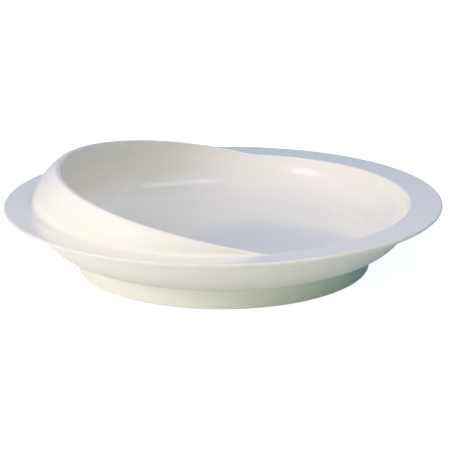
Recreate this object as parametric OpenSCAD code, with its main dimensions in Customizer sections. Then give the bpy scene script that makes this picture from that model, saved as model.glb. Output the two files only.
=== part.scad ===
// Scoop plate: a round dish with a level rim, and on one side a tall wall that curls in over the food.
// The dish stands on a separate base ring, which grips the table with a soft ring set into its underside.
// Millimetres, +Z up. The origin is on the table, under the middle of the plate, and the scoop wall is at -X.

/* [Dish] */
// Diameter over the rim
rim_d = 203.6; // [190:0.1:230]
// Width of the rim, from the edge of the hollow to the outside
rim_w = 15; // [8:0.1:18]
// Thickness of the rim, which ends in a full round
rim_t = 1.9; // [1.6:0.1:3]
// How much higher the rim stands at its outside than at the hollow
rim_rise = 0.6; // [0.3:0.1:1.5]
// Rounding of the hollow's edge where no scoop wall stands on it
rim_edge_r = 0.8; // [0.4:0.1:1.4]
// Fillet under the rim, where it springs from the bowl
rim_root_r = 2.5; // [1:0.1:5]
// Inside radius of the curve that carries the floor up to the rim
bowl_r = 18.6; // [14:0.1:20]
// Wall thickness at the height of the rim
wall_t = 2.0; // [1.6:0.1:2.3]
// Thickness of the floor
floor_t = 2.4; // [2:0.1:4]

/* [Scoop wall] */
// Height of the lip above the rim at its highest point
scoop_h = 17.1; // [10:0.1:17.5]
// Inside radius of the turn that brings the wall off the upright, just above the rim
turn_r = 14.2; // [12:0.1:16]
// Lean of the wall at the end of that turn, in degrees
turn_lean = 25; // [15:1:30]
// Inside radius of the curl that carries the wall from there to the lip
curl_r = 25.2; // [24:0.1:60]
// How far past the middle of the plate the lip runs out into the rim
scoop_runout = 20.8; // [0:0.1:50]
// Fillet at the foot of the wall, on the rim
scoop_root_r = 2.0; // [0.6:0.1:4]

/* [Base ring] */
// Diameter of the base ring at its foot
base_d = 137; // [124:0.1:143]
// How much further out the base ring stands at its foot than under the dish
base_flare = 0.5; // [0.3:0.1:3]
// Height from the table to the underside of the floor
base_h = 9.9; // [8.2:0.1:20]
// Thickness of the base ring's outer wall, at the top of its groove, and of its inner collar
base_wall_t = 2.2; // [1.8:0.1:3]
// Thickness of the base ring's top web, which bears on the floor
base_web_t = 2.0; // [1.6:0.1:2.6]
// Rounding of the base ring's lower outside edge
base_edge_r = 0.5; // [0.3:0.1:1.2]

/* [Snap fit] */
// Thickness of the spigot moulded under the floor
spigot_t = 2.0; // [1.6:0.1:3]
// Gap between the spigot and the table
spigot_lift = 2.4; // [1.6:0.1:3]
// How far the snap bead stands out of the spigot
bead_h = 0.6; // [0.4:0.1:0.9]
// Radial clearance of the collar on the spigot and its bead
snap_gap = 0.15; // [0.1:0.05:0.3]
// Chamfer at the collar's top edge that leads the bead in
lead_in = 0.8; // [0.4:0.1:1.2]

/* [Grip ring] */
// Width of the soft ring
grip_w = 4.0; // [3:0.1:5]
// Height of the soft ring
grip_h = 4.4; // [3.6:0.1:5]
// How far the soft ring stands out below the base ring
grip_proud = 0.3; // [0.3:0.1:1.2]
// Width of the shoulder on each side that the soft ring is pushed up against
grip_shoulder = 0.7; // [0.4:0.1:1]
// Clearance on each side of the soft ring in its groove
grip_gap = 0.1; // [0.05:0.05:0.2]

/* [Hidden] */
$fn = 180;

// Cutters reach this far past what they cut
spare = 1;
// Neighbouring rounds cross by this much, so that their edges meet cleanly
lap = 0.03;

rim_r = rim_d / 2;
// Edge of the hollow
dish_r = rim_r - rim_w;
rim_z = base_h + floor_t + bowl_r;
rim_under_z = rim_z - rim_t;
// Middle of the wall and of the rim, where one runs into the other
mid_wall_r = dish_r + wall_t / 2;
mid_rim_z = rim_z - rim_t / 2;
// The rim's middle line, from inside the wall up to the centre of the round that ends it
rim_start = [mid_wall_r, mid_rim_z - lap];
rim_end = [rim_r - rim_t / 2, mid_rim_z + rim_rise];
rim_slope = atan2(rim_end[1] - rim_start[1], rim_end[0] - rim_start[0]);
// The outside of bowl and wall is centred a little lower, so the thickness grows from the lip to the floor
taper = floor_t - wall_t;
bowl_c = [dish_r - bowl_r, rim_z];
bowl_out_c = bowl_c - [0, taper];
bowl_out_r = bowl_r + wall_t;

// The scoop wall goes on upright from the bowl, leans in along its turn and then along its longer curl.
// Both arcs have the same slope where they meet, so the centre of one lies on a radius of the other
turn_c = [dish_r - turn_r, rim_z];
curl_c = turn_c - (curl_r - turn_r + lap) * [cos(turn_lean), sin(turn_lean)];
turn_out_c = turn_c - [0, taper];
curl_out_c = curl_c - [0, taper];
turn_out_r = turn_r + wall_t;
curl_out_r = curl_r + wall_t;
// Height at which the wall's inside, and its outside, passes from the turn to the curl
curl_z = turn_c[1] + turn_r * sin(turn_lean);
curl_out_z = turn_out_c[1] + turn_out_r * sin(turn_lean);
wall_top_z = curl_out_c[1] + curl_out_r;
// Inner edge of the lip at its highest point, and the slope of the plane that trims the lip
lip_z = rim_z + scoop_h;
lip_r = curl_c[0] + sqrt(pow(curl_r, 2) - pow(lip_z - curl_c[1], 2));
lip_tilt = atan2(scoop_h, lip_r + scoop_runout);

base_r = base_d / 2;
base_top_r = base_r - base_flare;
flare_lean = atan2(base_flare, base_h - grip_proud);
groove_out_r = base_r - (grip_h - grip_proud) * tan(flare_lean) - base_wall_t;
groove_in_r = groove_out_r - grip_w - 2 * grip_gap;
collar_in_r = groove_in_r - base_wall_t;
spigot_r = collar_in_r - snap_gap;
bead_z = spigot_lift + 2 * bead_h;

// Point at distance d from one point towards another
function towards(from, to, d) = from + d * (to - from) / norm(to - from);

// How far the rim has risen, at a distance from the plate's axis
function rim_lift(r) = rim_start[1] - mid_rim_z + (r - rim_start[0]) * tan(rim_slope);

// Concave fillet between a level face and the outside of a round wall. Its circle touches the face straight
// above or below its own centre, and the wall on the line between the two centres. corner lies inside both
module fillet_profile(corner, centre, r, wall_centre, wall_r) {
    difference() {
        polygon([corner, [centre[0], corner[1]], centre, towards(wall_centre, centre, wall_r - lap)]);
        translate(centre) circle(r);
    }
}

// Centre of such a fillet: level with z, and outside the wall by the fillet's radius
function fillet_centre(z, r, wall_centre, wall_r) =
    [wall_centre[0] + sqrt(pow(wall_r + r - lap, 2) - pow(z - wall_centre[1], 2)), z];

// Solid of all that lies inside a round wall between two heights, from the plate's axis out to the round
module turned(centre, r, low, high) {
    rotate_extrude() {
        translate([0, low]) square([centre[0], high - low]);
        intersection() {
            translate(centre) circle(r);
            translate([centre[0], low]) square([r + spare, high - low]);
        }
    }
}

// Outside of the bowl and of the scoop wall, at the wall's full height all the way round
module outside() {
    turned(bowl_out_c, bowl_out_r, base_h, rim_z);
    turned(turn_out_c, turn_out_r, rim_z, turn_out_c[1] + turn_out_r);
    turned(curl_out_c, curl_out_r, curl_out_z, wall_top_z);
}

// The hollow that food goes into
module hollow() {
    turned(bowl_c, bowl_r, base_h + floor_t, rim_z);
    turned(turn_c, turn_r, rim_z, turn_c[1] + turn_r);
    turned(curl_c, curl_r, curl_z, wall_top_z + spare);
}

// Rim with a round edge, and the fillet under it
module rim_profile() {
    root_z = rim_under_z + rim_lift(bowl_out_c[0] + bowl_out_r + rim_root_r) - rim_root_r + lap;
    root = fillet_centre(root_z, rim_root_r, bowl_out_c, bowl_out_r);
    length = norm(rim_end - rim_start);
    translate(rim_start) rotate(rim_slope) {
        translate([0, -rim_t / 2]) square([length, rim_t]);
        translate([length, 0]) circle(rim_t / 2);
    }
    fillet_profile([mid_wall_r, mid_rim_z], root, rim_root_r, bowl_out_c, bowl_out_r);
}

// Fillet between the scoop wall and the rim that it stands on
module scoop_root_profile() {
    root_z = rim_z + rim_lift(turn_out_c[0] + turn_out_r + scoop_root_r) + scoop_root_r - lap;
    root = fillet_centre(root_z, scoop_root_r, turn_out_c, turn_out_r);
    fillet_profile([mid_wall_r, mid_rim_z], root, scoop_root_r, turn_out_c, turn_out_r);
}

// Ring under the floor that the base ring snaps on to
module spigot_profile() {
    translate([spigot_r - spigot_t, spigot_lift]) square([spigot_t, base_h + floor_t / 2 - spigot_lift]);
    translate([spigot_r, bead_z]) circle(bead_h);
}

// What is taken off the wall: all that lies over the lip's slope, with the hollow's edge rounded off
module lip_trim() {
    reach = rim_d + wall_top_z;
    intersection() {
        translate([scoop_runout, 0, rim_z]) rotate([0, lip_tilt, 0])
            translate([-reach, -reach, 0]) cube([2 * reach, 2 * reach, reach]);
        rotate_extrude() {
            translate([0, rim_z]) square([rim_r + spare, wall_top_z + spare - rim_z]);
            edge_trim_profile();
        }
    }
}

module edge_trim_profile() {
    difference() {
        translate([dish_r - spare, rim_z - rim_edge_r]) square([rim_edge_r - lap + spare, rim_edge_r + lap]);
        translate([dish_r + rim_edge_r - lap, rim_z - rim_edge_r]) circle(rim_edge_r);
    }
}

// The wall is trimmed to its lip before the rim, which rises a little past the lip's runout, goes round it
module plate() {
    color("ivory")
    difference() {
        union() {
            difference() {
                union() {
                    outside();
                    rotate_extrude() scoop_root_profile();
                }
                lip_trim();
            }
            rotate_extrude() rim_profile();
            rotate_extrude() spigot_profile();
        }
        hollow();
    }
}

// Channel, open below: flared outer wall, top web and inner collar, with the groove that holds the soft ring
module base_ring() {
    slot_w = grip_w + 2 * grip_gap - 2 * grip_shoulder;
    color("floralwhite")
    rotate_extrude() difference() {
        polygon([[collar_in_r, grip_proud], [base_r, grip_proud], [base_top_r, base_h], [collar_in_r, base_h]]);
        translate([groove_in_r, 0]) square([groove_out_r - groove_in_r, grip_h]);
        translate([groove_in_r + grip_shoulder, 0]) square([slot_w, base_h - base_web_t]);
        translate([spigot_r, bead_z]) circle(bead_h + snap_gap);
        lead_in_profile();
        base_edge_profile();
    }
}

// Corner taken off at 45 degrees, from past the top of the collar to past its inside
module lead_in_profile() {
    top = [collar_in_r + lead_in + spare, base_h + spare];
    side = [collar_in_r - spare, base_h - lead_in - spare];
    polygon([top, side, [side[0], top[1]]]);
}

// Rounding that touches the foot of the base ring, and crosses its flared wall a little
module base_edge_profile() {
    centre = [base_r - base_edge_r * tan(45 + flare_lean / 2) + lap, grip_proud + base_edge_r];
    on_wall = centre + base_edge_r * [cos(flare_lean), sin(flare_lean)];
    low = grip_proud - spare;
    difference() {
        polygon([[centre[0], low], [base_r + spare, low], [base_r + spare, on_wall[1]], on_wall, centre]);
        translate(centre) circle(base_edge_r);
    }
}

// Soft ring, pushed up into the base ring's groove against its two shoulders
module grip_ring() {
    color("gainsboro")
    rotate_extrude()
        translate([groove_in_r + grip_gap, 0]) square([grip_w, grip_h]);
}

plate();
base_ring();
grip_ring();
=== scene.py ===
import bpy
import numpy as np
from mathutils import Matrix, Vector


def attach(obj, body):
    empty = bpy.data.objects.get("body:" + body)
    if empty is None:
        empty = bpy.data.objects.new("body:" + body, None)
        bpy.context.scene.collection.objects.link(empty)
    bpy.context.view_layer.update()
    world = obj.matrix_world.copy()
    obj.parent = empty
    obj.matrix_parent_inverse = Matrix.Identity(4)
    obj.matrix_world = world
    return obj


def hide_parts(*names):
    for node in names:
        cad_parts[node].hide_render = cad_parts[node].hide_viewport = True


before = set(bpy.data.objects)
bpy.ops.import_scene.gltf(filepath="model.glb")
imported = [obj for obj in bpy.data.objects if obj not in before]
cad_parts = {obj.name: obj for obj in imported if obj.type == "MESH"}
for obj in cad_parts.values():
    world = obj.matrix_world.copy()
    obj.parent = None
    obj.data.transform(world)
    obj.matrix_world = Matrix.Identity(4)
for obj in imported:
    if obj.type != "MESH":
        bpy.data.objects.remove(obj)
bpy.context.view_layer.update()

# The plate: floor, bowl, rim and scoop wall in one injection moulding of glossy ivory plastic.
# The wall carries the bowl's own round on above the rim and curls in. A slightly crowned slant trims its
# lip, which runs out into the rim on both sides. A spigot with a bead under the floor takes the base ring.
MM = 0.001  # a millimetre in metres; the sizes of the pieces are in millimetres
RIM_R = 101.8  # radius over the rim
RIM_W = 15.0  # width of the rim
RIM_T = 1.9  # thickness of the rim, which ends in a full round
RIM_RISE = 0.6  # how much higher the rim stands at its outside
ROOT_BEND = 2.5  # fillet under the rim
UNDER_Z = 9.9  # height of the floor's underside
FLOOR_T = 2.4  # thickness of the floor
BOWL_BEND = 18.6  # inside radius of the round between floor and rim
WALL_T = 2.0  # thickness of the wall
TURN_BEND = 14.2  # inside radius of the turn that brings the scoop wall off the upright
TURN_LEAN = 25.0  # lean of the wall in degrees where the turn ends and the curl begins
CURL_BEND = 24.8  # inside radius of the curl
CURL_END = 78.0  # lean in degrees at which the curl's faces end, past the lip
FOOT_BEND = 2.0  # fillet between the rim and the wall's outside
RIM_STRETCH = 2.5  # how far out on the rim, from that fillet, the line of the outside starts
LIP_RISE = 0.186  # slope of the slant that trims the lip
LIP_TOP = -78.0  # where the slant's crown begins, at the highest part of the lip
LIP_RUNOUT = 17.0  # where the lip runs out into the rim, past the middle
LIP_CROWN = 0.57  # how far the slant bulges half-way
LIP_EASE = 0.3  # how softly the lip runs out
RIM_EDGE_SOFT = 0.9  # softening of the hollow's edge where there is no wall
IN_SOFT = 0.35  # softening of the lip's inner edge
SOFT_CHANGE = 6.0  # length of wall over which one goes over into the other
OUT_ROUND = 2.0  # radius of the lip's outer edge
OUT_SOFT_LEAST = 0.3  # least softening of that edge
LIP_LEFT = 0.15  # least width of lip that the two edges leave
DOWN_STEP = 0.2  # length over which the outside's direction at the lip is taken
SPIGOT_R = 59.54  # outside radius of the spigot
SPIGOT_T = 2.0  # its thickness
SPIGOT_Z = 2.4  # height of its lower end
SPIGOT_FILLET = 0.4  # fillet at its root
SPIGOT_ROUND = 0.5  # rounding of its lower end
BEAD_Z = 3.6  # height of the middle of its snap bead
BEAD_H = 0.6  # how far the bead stands out
POINT_GAP = 0.1  # gap that keeps the point above the bead off it

DISH_R = RIM_R - RIM_W
FLOOR_R = DISH_R - BOWL_BEND
FLOOR_Z = UNDER_Z + FLOOR_T
RIM_Z = FLOOR_Z + BOWL_BEND
TAPER = FLOOR_T - WALL_T  # the outside's centres lie this much lower, so the wall thickens to the floor
LEVEL_R = DISH_R + 0.8 * WALL_T  # radius as far as which the rim is level
RIM_SLOPE = RIM_RISE / (RIM_R - RIM_T / 2 - LEVEL_R)
BOWL_LENGTH = BOWL_BEND * np.pi / 2  # length of the bowl's round, at whose end the rim begins


def arc(centre, r, start, end, n):
    """Points on a circle about centre, from one angle in degrees to another: centre + r (cos, sin)."""
    turn = np.radians(np.linspace(start, end, n))
    return np.stack([centre[0] + r * np.cos(turn), centre[1] + r * np.sin(turn)], axis=-1)


def run(start, end, n):
    """Points on a straight line, spaced by a half cosine so that they crowd towards both ends."""
    part = 0.5 - 0.5 * np.cos(np.pi * np.linspace(0, 1, n))[:, None]
    return np.asarray(start) * (1 - part) + np.asarray(end) * part


def rounded(before, tip, after, n):
    """A soft corner: the parabola that leaves before towards tip and comes to after from tip."""
    t = np.linspace(0, 1, n)[:, None]
    before, tip, after = before[..., None, :], tip[..., None, :], after[..., None, :]
    return (1 - t) ** 2 * before + 2 * t * (1 - t) * tip + t ** 2 * after


def distances(line):
    """How far along a line of points each point lies: the running sum of the steps between them."""
    return np.concatenate([[0], np.cumsum(np.linalg.norm(np.diff(line, axis=0), axis=1))])


def at(line, distance):
    """Points at these distances along a dense line of points, by straight interpolation."""
    along = distances(line)
    return np.stack([np.interp(distance, along, line[:, k]) for k in (0, 1)], axis=-1)


def ring_faces(around, along, closed):
    """Quads of a grid that closes on itself around the axis, and along the profile too where closed is
    true: each joins two neighbours on one profile to the same two on the next."""
    i, j = np.meshgrid(np.arange(around), np.arange(along if closed else along - 1), indexing="ij")
    k, m = (i + 1) % around, (j + 1) % along
    return np.stack([i * along + j, i * along + m, k * along + m, k * along + j], axis=-1).reshape(-1, 4)


def edge_wear(outline):
    """How worn each point of a closed outline is: how sharply it turns outwards, in radians a millimetre,
    less a fifth, and from none to one. Outwards is clockwise, as the material lies on the outline's right."""
    back, ahead = outline - np.roll(outline, 1, axis=-2), np.roll(outline, -1, axis=-2) - outline
    sideways = back[..., 1] * ahead[..., 0] - back[..., 0] * ahead[..., 1]
    turn = np.arctan2(sideways, np.sum(back * ahead, axis=-1))
    step = 0.5 * (np.linalg.norm(back, axis=-1) + np.linalg.norm(ahead, axis=-1))
    return np.clip(turn / step - 0.2, 0, 1)


def moulded(name, points, faces, wear, satin):
    """A smooth-shaded mesh object of these points, given in millimetres, and these faces. Its points carry
    how worn and how satin they are, for the material."""
    mesh = bpy.data.meshes.new(name)
    mesh.from_pydata((points * MM).tolist(), [], [face for part in faces for face in part.tolist()])
    mesh.polygons.foreach_set("use_smooth", np.ones(len(mesh.polygons), dtype=bool))
    mesh.attributes.new("wear", "FLOAT", "POINT").data.foreach_set("value", wear)
    mesh.attributes.new("satin", "FLOAT", "POINT").data.foreach_set("value", satin)
    mesh.update()
    piece = bpy.data.objects.new(name, mesh)
    bpy.context.scene.collection.objects.link(piece)
    return piece


def rim_top(radius):
    """Height of the rim: level as far as the wall, then rising evenly to its outside by RIM_RISE."""
    return RIM_Z + RIM_SLOPE * np.maximum(radius - LEVEL_R, 0)


def beside(centre, r, height, gap):
    """Centre of a fillet at this height that touches a round: their centres lie r + gap apart."""
    return np.array([centre[0] + np.sqrt((r + gap) ** 2 - (height - centre[1]) ** 2), height])


def scoop_line(level, start, turn_r, curl_r):
    """One face of the scoop wall: round the turn, from an angle at this level to the turn's lean, and then
    round the wider curl, which goes on in the direction in which the turn ends."""
    lean = np.radians(TURN_LEAN)
    turn_c = np.array([DISH_R - TURN_BEND, level])
    curl_c = turn_c - (curl_r - turn_r) * np.array([np.cos(lean), np.sin(lean)])
    return np.concatenate([arc(turn_c, turn_r, start, TURN_LEAN, 300)[1:],
                           arc(curl_c, curl_r, TURN_LEAN, CURL_END, 600)[1:]])


def wall_lines():
    """The plate's inside from the floor's edge up to the curl's end, and its outside from the rim up to the
    same place, as dense lines of points: arcs that follow each other without a kink."""
    inside = np.concatenate([arc([FLOOR_R, RIM_Z], BOWL_BEND, -90, 0, 600),
                             scoop_line(RIM_Z, 0, TURN_BEND, CURL_BEND)])
    turn_c, turn_r = np.array([DISH_R - TURN_BEND, RIM_Z - TAPER]), TURN_BEND + WALL_T
    foot_c = beside(turn_c, turn_r, rim_top(DISH_R + WALL_T + FOOT_BEND) + FOOT_BEND, FOOT_BEND)
    foot_turn = np.degrees(np.arctan2(foot_c[1] - turn_c[1], foot_c[0] - turn_c[0]))
    foot = arc(foot_c, FOOT_BEND, 270 + np.degrees(np.arctan(RIM_SLOPE)), 180 + foot_turn, 200)
    start_r = foot[0, 0] + RIM_STRETCH
    outside = np.concatenate([np.linspace([start_r, rim_top(start_r)], foot[0], 100)[:-1], foot,
                              scoop_line(turn_c[1], foot_turn, turn_r, CURL_BEND + WALL_T)])
    return inside, outside


def lip_reach(line, angle):
    """How far along a face of the wall the lip cuts it off, at each angle: where the face first passes the
    lip's surface. Its height over the rim is LIP_RISE times the distance to the line on which it runs out,
    crowned by a parabola that is LIP_CROWN high half-way. Past that line it is eased into the rim, by half
    of its height plus the root of its square and of LIP_EASE's."""
    across = line[None, :, 0] * np.cos(angle)[:, None]
    part = np.clip((across - LIP_TOP) / (LIP_RUNOUT - LIP_TOP), 0, 1)
    rise = LIP_RISE * (LIP_RUNOUT - across) + LIP_CROWN * 4 * part * (1 - part)
    over = line[:, 1] - rim_top(line[:, 0]) - 0.5 * (rise + np.sqrt(rise ** 2 + LIP_EASE ** 2))
    last = np.argmax(over > 0, axis=1)[:, None]
    low, high = np.take_along_axis(over, last - 1, 1)[:, 0], np.take_along_axis(over, last, 1)[:, 0]
    along = distances(line)
    before, after = along[last[:, 0] - 1], along[last[:, 0]]
    return before + (after - before) * low / (low - high)


def lip_points(inside, outside, angle):
    """The lip at each angle: a soft inner edge, a straight face and a soft outer edge. The inner edge starts
    a set distance below the lip, the outer one its radius times the tangent of half its turn. Also gives how
    far along the inside and the outside they start."""
    in_end, out_end = lip_reach(inside, angle), lip_reach(outside, angle)
    in_tip, out_tip = at(inside, in_end), at(outside, out_end)
    width = np.linalg.norm(out_tip - in_tip, axis=1)
    across = (out_tip - in_tip) / width[:, None]
    in_soft = np.interp(in_end, [BOWL_LENGTH, BOWL_LENGTH + SOFT_CHANGE], [RIM_EDGE_SOFT, IN_SOFT])
    down = at(outside, out_end - DOWN_STEP) - out_tip
    turn = np.arccos(np.clip(np.sum(across * down, axis=1) / np.linalg.norm(down, axis=1), -1, 1))
    most = np.maximum(width - in_soft - LIP_LEFT, OUT_SOFT_LEAST)
    out_soft = np.clip(OUT_ROUND * np.tan(turn / 2), OUT_SOFT_LEAST, most)
    face_in, face_out = in_tip + in_soft[:, None] * across, out_tip - out_soft[:, None] * across
    in_edge = rounded(at(inside, in_end - in_soft), in_tip, face_in, 7)
    face = run([0.0], [1.0], 8)[None, 1:-1] * (face_out - face_in)[:, None] + face_in[:, None]
    out_edge = rounded(face_out, out_tip, at(outside, out_end - out_soft), 7)
    return in_edge, face, out_edge, in_end - in_soft, out_end - out_soft


def spigot_outline():
    """The spigot: down its outside, round the half circle of the bead, round its lower end and up inside."""
    inner_r = SPIGOT_R - SPIGOT_T
    sides_top, inside_low = UNDER_Z - 0.6, SPIGOT_Z + 0.8
    return np.concatenate([
        arc([SPIGOT_R + SPIGOT_FILLET, UNDER_Z - SPIGOT_FILLET], SPIGOT_FILLET, 90, 180, 5),
        run([SPIGOT_R, sides_top], [SPIGOT_R, BEAD_Z + BEAD_H + POINT_GAP], 4),
        arc([SPIGOT_R, BEAD_Z], BEAD_H, 90, -90, 9)[1:-1],
        arc([SPIGOT_R - SPIGOT_ROUND, SPIGOT_Z + SPIGOT_ROUND], SPIGOT_ROUND, 0, -90, 5),
        arc([inner_r + SPIGOT_ROUND, SPIGOT_Z + SPIGOT_ROUND], SPIGOT_ROUND, 270, 180, 5),
        run([inner_r, inside_low], [inner_r, sides_top], 4),
        arc([inner_r - SPIGOT_FILLET, UNDER_Z - SPIGOT_FILLET], SPIGOT_FILLET, 0, 90, 5)])


def plate_sections(angle):
    """Closed outline of the plate in each half-plane through its axis, as (radius, height) points: over the
    floor, up the inside, across the lip, down the outside and round the rim, back under the floor and round
    the spigot. Also the numbers of the points at which the outside starts, past the lip, and at which the
    rim's edge turns under."""
    inside, outside = wall_lines()
    in_edge, face, out_edge, in_reach, out_reach = lip_points(inside, outside, angle)
    slope = np.degrees(np.arctan(RIM_SLOPE))
    rim_end = arc([RIM_R - RIM_T / 2, RIM_Z + RIM_RISE - RIM_T / 2], RIM_T / 2, 90 + slope, slope - 90, 15)
    bowl_c, bowl_r = np.array([FLOOR_R, RIM_Z - TAPER]), BOWL_BEND + WALL_T
    root_c = beside(bowl_c, bowl_r, rim_top(FLOOR_R + bowl_r + ROOT_BEND) - RIM_T - ROOT_BEND, ROOT_BEND)
    root_turn = np.degrees(np.arctan2(root_c[1] - bowl_c[1], root_c[0] - bowl_c[0]))
    root = arc(root_c, ROOT_BEND, 90 + slope, 180 + root_turn, 9)
    spigot = spigot_outline()

    def same(points):
        """The same points at every angle."""
        return np.broadcast_to(points, (len(angle),) + points.shape)

    share = np.linspace(0, 1, 58)[None, :]
    up = [same(run([0, FLOOR_Z], [FLOOR_R, FLOOR_Z], 16)[1:-1]),
          at(inside, share * in_reach[:, None])[:, :-1],
          in_edge,
          face]
    out = [out_edge,
           at(outside, (1 - share) * out_reach[:, None])[:, 1:],
           same(run(outside[0], rim_end[0], 9)[1:-1]),
           same(rim_end[:11])]
    under = [same(rim_end[11:]),
             same(run(rim_end[-1], root[0], 9)[1:-1]),
             same(root),
             same(arc(bowl_c, bowl_r, root_turn, -90, 34)[1:]),
             same(run([FLOOR_R, UNDER_Z], spigot[0], 7)[1:-1]),
             same(spigot),
             same(run(spigot[-1], [0, UNDER_Z], 10)[1:-1])]
    outside_starts = sum(part.shape[1] for part in up)
    turns_under = outside_starts + sum(part.shape[1] for part in out)
    return np.concatenate(up + out + under, axis=1), outside_starts, turns_under


ROUND = 320  # profiles round the axis
WALL_SATIN = 0.2  # how satin the wall's outside is; the underside is fully satin
SATIN_CHANGE = 3.0  # height above the rim over which the wall's outside turns satin
angle = np.arange(ROUND) * 2 * np.pi / ROUND
section, outside_starts, turns_under = plate_sections(angle)
along = section.shape[1]
plate_points = np.stack([section[..., 0] * np.cos(angle)[:, None],
                         section[..., 0] * np.sin(angle)[:, None], section[..., 1]], axis=-1)
plate_points = np.concatenate([plate_points.reshape(-1, 3), [[0, 0, FLOOR_Z], [0, 0, UNDER_Z]]])
first = np.arange(ROUND) * along
onward = (np.arange(ROUND) + 1) % ROUND * along
top_fan = np.stack([np.full(ROUND, ROUND * along), first, onward], axis=-1)
under_fan = np.stack([first + along - 1, np.full(ROUND, ROUND * along + 1), onward + along - 1], axis=-1)
plate_wear = edge_wear(section)
plate_wear[:, [0, -1]] = 0  # the outline's ends lie near the axis, where there is no edge
over_rim = np.clip((section[..., 1] - rim_top(section[..., 0])) / SATIN_CHANGE, 0, 1)
number = np.arange(along)
wall_satin = np.where(number >= outside_starts, WALL_SATIN * over_rim, 0)
plate_satin = np.where(number >= turns_under, 1, wall_satin)
plate = moulded("plate_moulding", plate_points, [ring_faces(ROUND, along, False), top_fan, under_fan],
                np.concatenate([plate_wear.ravel(), [0, 0]]), np.concatenate([plate_satin.ravel(), [0, 1]]))


def feed(tree, value, socket):
    """Links a socket to an output, or sets it to a plain number or colour."""
    if isinstance(value, bpy.types.NodeSocket):
        tree.links.new(value, socket)
    else:
        socket.default_value = (*value, 1) if isinstance(value, tuple) else value


def noise(tree, scale, detail):
    """Noise in the piece's own coordinates, with lumps of about one metre over scale."""
    place = tree.nodes.new("ShaderNodeTexCoord")
    node = tree.nodes.new("ShaderNodeTexNoise")
    node.inputs["Scale"].default_value = scale
    node.inputs["Detail"].default_value = detail
    tree.links.new(place.outputs["Object"], node.inputs["Vector"])
    return node.outputs["Fac"]


def carried(tree, name):
    """The value of this name that the mesh's points carry."""
    node = tree.nodes.new("ShaderNodeAttribute")
    node.attribute_name = name
    return node.outputs["Fac"]


def between(tree, value, low, high, at_low, at_high):
    """A value that goes evenly from at_low to at_high as the given one goes from low to high."""
    node = tree.nodes.new("ShaderNodeMapRange")
    node.inputs["From Min"].default_value = low
    node.inputs["From Max"].default_value = high
    node.inputs["To Min"].default_value = at_low
    node.inputs["To Max"].default_value = at_high
    tree.links.new(value, node.inputs["Value"])
    return node.outputs["Result"]


def worked(tree, operation, *values):
    """One step of arithmetic on outputs and plain numbers."""
    node = tree.nodes.new("ShaderNodeMath")
    node.operation = operation
    for value, socket in zip(values, node.inputs):
        feed(tree, value, socket)
    return node.outputs[0]


def mixed(tree, share, start, end):
    """A colour that lies this share of the way from one colour to another."""
    node = tree.nodes.new("ShaderNodeMix")
    node.data_type = "RGBA"
    factor, colour_a, colour_b = node.inputs[0], node.inputs[6], node.inputs[7]
    for value, socket in ((share, factor), (start, colour_a), (end, colour_b)):
        feed(tree, value, socket)
    return node.outputs[2]


def bumped(tree, height, strength, depth):
    """A bump node that shades the surface as if it rose with this height, by at most depth metres."""
    node = tree.nodes.new("ShaderNodeBump")
    node.inputs["Strength"].default_value = strength
    node.inputs["Distance"].default_value = depth
    tree.links.new(height, node.inputs["Height"])
    return node


def moulded_plastic(name, colour, warmer, satin_roughness, sheen, satin_sheen):
    """Moulded plastic: a faint cloudy drift of the colour, a slow sinking and a fine orange peel of the
    surface, and roughness that wanders a little, as on a part that has been wiped. It goes from polished
    to satin with the points' attribute, and its edges are scuffed in patches: a little greyer and duller."""
    polish, wander, scuff_dulling = 0.16, 0.02, 0.035
    scuff_colour = (0.86, 0.845, 0.80)
    finish = bpy.data.materials.new(name)
    finish.use_nodes = True
    tree = finish.node_tree
    shader = tree.nodes["Principled BSDF"]
    satin = carried(tree, "satin")
    scuffs = between(tree, noise(tree, scale=260, detail=5), 0.42, 0.68, 0, 1)
    worn = worked(tree, "MULTIPLY", carried(tree, "wear"), scuffs)
    cloudy = mixed(tree, noise(tree, scale=22, detail=3), colour, warmer)
    feed(tree, mixed(tree, worn, cloudy, scuff_colour), shader.inputs["Base Color"])
    dullness = worked(tree, "ADD", between(tree, noise(tree, scale=45, detail=4), 0.3, 0.7, -wander, wander),
                      between(tree, worn, 0, 1, 0, scuff_dulling))
    roughness = worked(tree, "ADD", between(tree, satin, 0, 1, polish, satin_roughness), dullness)
    feed(tree, roughness, shader.inputs["Roughness"])
    shader.inputs["Specular IOR Level"].default_value = sheen
    if satin_sheen != sheen:
        fading = between(tree, satin, 0, WALL_SATIN, sheen, satin_sheen)
        feed(tree, fading, shader.inputs["Specular IOR Level"])
    sink = bumped(tree, noise(tree, scale=38, detail=1), strength=0.12, depth=0.0004)
    peel = bumped(tree, noise(tree, scale=900, detail=2), strength=0.05, depth=0.0001)
    feed(tree, sink.outputs["Normal"], peel.inputs["Normal"])
    feed(tree, peel.outputs["Normal"], shader.inputs["Normal"])
    shader.inputs["IOR"].default_value = 1.5
    return finish


IVORY = (0.90, 0.885, 0.845)
WARM_IVORY = (0.91, 0.885, 0.83)
plate.data.materials.append(moulded_plastic("ivory_moulded", IVORY, WARM_IVORY, 0.45, 0.5, 0.12))
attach(plate, "root")
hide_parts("plate")

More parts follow.
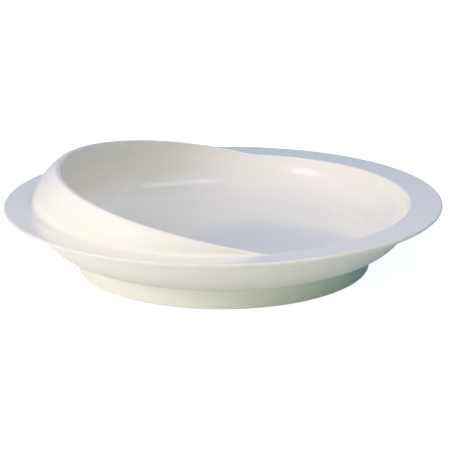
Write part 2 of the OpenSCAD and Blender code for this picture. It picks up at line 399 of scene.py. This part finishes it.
# The base ring: a separate channel-shaped moulding that snaps over the spigot's bead and lifts the dish
# off the table. It is the same kind of plastic, satin and a shade yellower, and its top edge leaves a fine
# groove under the bowl.
BASE_R = 68.5  # radius at its foot
BASE_FLARE = 0.5  # how much narrower it is at its top
BASE_LOW = 0.3  # height of its foot, which the grip ring keeps off the table
COLLAR_T = 2.2  # thickness of the collar that goes over the spigot
WEB_T = 2.0  # thickness of the web that bears on the floor
SNAP_GAP = 0.15  # gap between collar and spigot
LEAD_IN = 0.8  # chamfer at the collar's top
BEAD_ROOM = 0.75  # half the height of the groove for the bead
GRIP_W = 4.0  # width of the grip ring
GRIP_TOP = 4.4  # height of its top
GRIP_GAP = 0.1  # gap on each side of it
SHOULDER = 0.7  # width of the shoulders it is pushed up against
COLLAR_R = SPIGOT_R + SNAP_GAP
GROOVE_IN = COLLAR_R + COLLAR_T
GROOVE_OUT = GROOVE_IN + GRIP_W + 2 * GRIP_GAP
WEB_Z = UNDER_Z - WEB_T


def softened(corners, n):
    """A closed outline of soft corners, from (radius, height, softness) rows: each corner starts and ends
    its softness away from the tip, and each straight leg between two gets three more points."""
    tip, softness = np.asarray(corners)[:, :2], np.asarray(corners)[:, 2:]
    back, ahead = np.roll(tip, 1, axis=0) - tip, np.roll(tip, -1, axis=0) - tip
    before = tip + softness * back / np.linalg.norm(back, axis=1)[:, None]
    after = tip + softness * ahead / np.linalg.norm(ahead, axis=1)[:, None]
    bends = rounded(before, tip, after, n)
    legs = np.roll(before, -1, axis=0) - after
    leg_shares = np.array([0.06, 0.5, 0.94])
    inner = after[:, None] + leg_shares[None, :, None] * legs[:, None]
    return np.concatenate([bends, inner], axis=1).reshape(-1, 2)


def ring_piece(name, outline, around):
    """A ring: a closed outline of (radius, height) points turned once about the plate's axis."""
    turn = (np.arange(around) * 2 * np.pi / around)[:, None]
    radius, height = outline[None, :, 0], outline[None, :, 1]
    points = np.stack([radius * np.cos(turn), radius * np.sin(turn), height + 0 * turn], axis=-1)
    faces = [ring_faces(around, len(outline), True)]
    wear = np.tile(edge_wear(outline), around)
    return moulded(name, points.reshape(-1, 3), faces, wear, np.ones(len(wear)))


base_outline = softened([
    (COLLAR_R + LEAD_IN, UNDER_Z, 0.2),
    (BASE_R - BASE_FLARE, UNDER_Z, 0.3),
    (BASE_R, BASE_LOW, 0.5),
    (GROOVE_OUT, BASE_LOW, 0.25),
    (GROOVE_OUT, GRIP_TOP, 0.15),
    (GROOVE_OUT - SHOULDER, GRIP_TOP, 0.15),
    (GROOVE_OUT - SHOULDER, WEB_Z, 0.15),
    (GROOVE_IN + SHOULDER, WEB_Z, 0.15),
    (GROOVE_IN + SHOULDER, GRIP_TOP, 0.15),
    (GROOVE_IN, GRIP_TOP, 0.15),
    (GROOVE_IN, BASE_LOW, 0.25),
    (COLLAR_R, BASE_LOW, 0.3),
    (COLLAR_R, BEAD_Z - BEAD_ROOM, 0.15),
    (COLLAR_R + BEAD_H, BEAD_Z, 0.3),
    (COLLAR_R, BEAD_Z + BEAD_ROOM, 0.15),
    (COLLAR_R, UNDER_Z - LEAD_IN, 0.2)], 5)
base = ring_piece("base_ring_moulding", base_outline, ROUND)
CREAM = (0.895, 0.885, 0.82)
WARM_CREAM = (0.905, 0.885, 0.805)
base.data.materials.append(moulded_plastic("base_satin", CREAM, WARM_CREAM, 0.50, 0.08, 0.08))
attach(base, "root")
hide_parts("base_ring")

# The grip ring: a soft grey rubber ring, moulded round and pushed up into the base ring's groove.
# It stands just below the base ring, so that the plate rests on it and does not slide away from the spoon.
GRIP_ROUND = 256  # profiles round the axis
grip_outline = softened([
    (GROOVE_IN + GRIP_GAP, 0.0, 0.5),
    (GROOVE_IN + GRIP_GAP, GRIP_TOP, 0.3),
    (GROOVE_OUT - GRIP_GAP, GRIP_TOP, 0.3),
    (GROOVE_OUT - GRIP_GAP, 0.0, 0.5)], 6)
grip = ring_piece("grip_ring_rubber", grip_outline, GRIP_ROUND)


def soft_rubber(name, colour, dusty):
    """Matt rubber: a dull surface with a fine grain and a dusty bloom that comes and goes."""
    finish = bpy.data.materials.new(name)
    finish.use_nodes = True
    tree = finish.node_tree
    shader = tree.nodes["Principled BSDF"]
    bloom = mixed(tree, noise(tree, scale=120, detail=4), colour, dusty)
    feed(tree, bloom, shader.inputs["Base Color"])
    grain = bumped(tree, noise(tree, scale=1500, detail=3), strength=0.3, depth=0.0002)
    feed(tree, grain.outputs["Normal"], shader.inputs["Normal"])
    shader.inputs["Roughness"].default_value = 0.75
    return finish


GREY = (0.60, 0.59, 0.55)
DUSTY_GREY = (0.68, 0.67, 0.63)
grip.data.materials.append(soft_rubber("grip_rubber_matt", GREY, DUSTY_GREY))
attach(grip, "root")
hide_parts("grip_ring")

# The studio floor: a wide sheet of pale paper that keeps the plate's soft shadow. A glow that only the camera
# and reflections see makes it white. For the camera it grows far from the plate, and in reflections there is
# none behind the plate and to its right, which darkens the wall's left edge and the base's right end.
PAPER_HALF = 4  # half the sheet's width, in metres
PAPER = (0.85, 0.85, 0.85)
PAPER_GLOW = 0.82  # strength of the glow near the plate
FAR_FROM, FAR_TO = 0.4, 1.2  # metres from the plate over which the glow grows to one for the camera
DARK_SPOT = (0.30, 0.55, 0)  # middle of the paper that has no glow in reflections
DARK_FROM, DARK_TO = 0.62, 0.72  # metres from there over which it comes back
sheet = bpy.data.meshes.new("studio_floor")
corners = [(-PAPER_HALF, -PAPER_HALF, 0), (PAPER_HALF, -PAPER_HALF, 0),
           (PAPER_HALF, PAPER_HALF, 0), (-PAPER_HALF, PAPER_HALF, 0)]
sheet.from_pydata(corners, [], [(0, 1, 2, 3)])
floor = bpy.data.objects.new("studio_floor", sheet)
bpy.context.scene.collection.objects.link(floor)
paper = bpy.data.materials.new("white_paper")
paper.use_nodes = True
tree = paper.node_tree
matt = tree.nodes["Principled BSDF"]
matt.inputs["Base Color"].default_value = (*PAPER, 1)
matt.inputs["Roughness"].default_value = 0.9
matt.inputs["Specular IOR Level"].default_value = 0.0


def away_from(tree, point):
    """Distance on the paper from a point, in metres."""
    place = tree.nodes.new("ShaderNodeTexCoord")
    node = tree.nodes.new("ShaderNodeVectorMath")
    node.operation = "DISTANCE"
    node.inputs[1].default_value = point
    tree.links.new(place.outputs["Object"], node.inputs[0])
    return node.outputs["Value"]


seen = tree.nodes.new("ShaderNodeLightPath").outputs
mirrored = worked(tree, "MAXIMUM", seen["Is Glossy Ray"], seen["Is Transmission Ray"])
dark = between(tree, away_from(tree, DARK_SPOT), DARK_FROM, DARK_TO, 0, 1)
lit = worked(tree, "MAXIMUM", seen["Is Camera Ray"], worked(tree, "MULTIPLY", mirrored, dark))
lift = worked(tree, "MULTIPLY", lit, PAPER_GLOW)
far = between(tree, away_from(tree, (0, 0, 0)), FAR_FROM, FAR_TO, 0, 1 - PAPER_GLOW)
glow = tree.nodes.new("ShaderNodeEmission")
glow.inputs["Color"].default_value = (1, 1, 1, 1)
feed(tree, worked(tree, "MULTIPLY_ADD", seen["Is Camera Ray"], far, lift), glow.inputs["Strength"])
both = tree.nodes.new("ShaderNodeAddShader")
feed(tree, matt.outputs[0], both.inputs[0])
feed(tree, glow.outputs[0], both.inputs[1])
feed(tree, both.outputs[0], tree.nodes["Material Output"].inputs["Surface"])
sheet.materials.append(paper)

# The studio light: dim cool air all round and soft lamps. The key lamp from the left in front lights the wall
# and leaves the gleam in the bowl, a strip above leaves the streak in it, weak tinted fills near the plate
# even out its shades without a gleam, and two wide blue lamps behind give the rim its cool sheen.
world = bpy.data.worlds.new("studio_air")
bpy.context.scene.world = world
world.use_nodes = True
air = world.node_tree.nodes["Background"]
air.inputs["Color"].default_value = (0.14, 1.0, 0.93, 1)
air.inputs["Strength"].default_value = 0.157


def softbox(name, place, aim, width, height, watts, colour, mirrored=True):
    """A rectangular soft lamp that faces aim; one that is not mirrored leaves no gleam on the plate."""
    lamp = bpy.data.lights.new(name, "AREA")
    lamp.shape = "RECTANGLE"
    lamp.size, lamp.size_y = width, height
    lamp.energy = watts
    lamp.color = colour
    box = bpy.data.objects.new(name, lamp)
    box.location = place
    box.rotation_euler = (Vector(aim) - Vector(place)).to_track_quat("-Z", "Y").to_euler()
    box.visible_camera = False
    box.visible_glossy = mirrored
    bpy.context.scene.collection.objects.link(box)


DISH = (0, 0, 0.025)
BOWL_WALL = (-0.07, 0.04, 0.035)
softbox("key_softbox", (-1.177, -0.680, 0.659), DISH, 0.46, 0.36, 3.30, (0.62, 0.66, 0.93))
softbox("strip_softbox", (0.25, -0.08, 0.80), (0.19, 0.06, 0), 0.48, 0.20, 0.92, (0.86, 0.91, 1.0))
softbox("left_fill", (-0.80, -0.30, 0.30), DISH, 0.5, 0.4, 2.28, (1.0, 0.90, 0.68), mirrored=False)
softbox("corner_fill", (-0.60, -0.55, 0.22), DISH, 0.5, 0.2, 1.07, (0.97, 0.74, 1.0), mirrored=False)
softbox("front_fill", (-0.20, -0.60, 0.14), DISH, 0.4, 0.16, 0.62, (1.0, 0.97, 0.64), mirrored=False)
softbox("side_fill", (-0.30, 0, 0.30), DISH, 0.2, 0.2, 0.22, (1.0, 0.56, 0.46), mirrored=False)
softbox("dish_fill", (0.10, -0.12, 0.30), BOWL_WALL, 0.15, 0.15, 0.38, (1.0, 0.63, 0.49), mirrored=False)
softbox("top_fill", (0, 0, 0.5), (0, 0, 0), 0.3, 0.3, 0.52, (0.46, 0.55, 1.0), mirrored=False)
softbox("back_glow", (0, 1.6, 0.35), DISH, 2.4, 0.6, 1.28, (0, 0.07, 1.0))
softbox("corner_glow", (1.3, 1.3, 0.7), DISH, 1.2, 1.0, 5.01, (0.26, 0.41, 1.0))

# The camera: a long lens from in front and a little above, a degree to the left of the plate's cross line
# and rolled by a third of a degree, as in the photograph.
SWING = np.radians(-0.975)
TILT = np.radians(16.519)
ROLL = np.radians(0.376)
EYE = (-0.01080, -0.68107, 0.21998)
level = np.array([np.cos(SWING), np.sin(SWING), 0])
ahead = np.array([-np.sin(SWING), np.cos(SWING), 0])
rise = np.sin(TILT) * ahead + np.cos(TILT) * np.array([0, 0, 1])
right = np.cos(ROLL) * level - np.sin(ROLL) * rise
up = np.sin(ROLL) * level + np.cos(ROLL) * rise
lens = bpy.data.cameras.new("view")
lens.sensor_width = 36.0
lens.lens = 120.8
lens.clip_start = 0.01
camera = bpy.data.objects.new("view", lens)
turn = np.column_stack([right, up, np.cross(right, up)])
camera.matrix_world = Matrix.Translation(EYE) @ Matrix(turn.tolist()).to_4x4()
bpy.context.scene.collection.objects.link(camera)
bpy.context.scene.camera = camera
bpy.context.scene.view_settings.view_transform = "Standard"
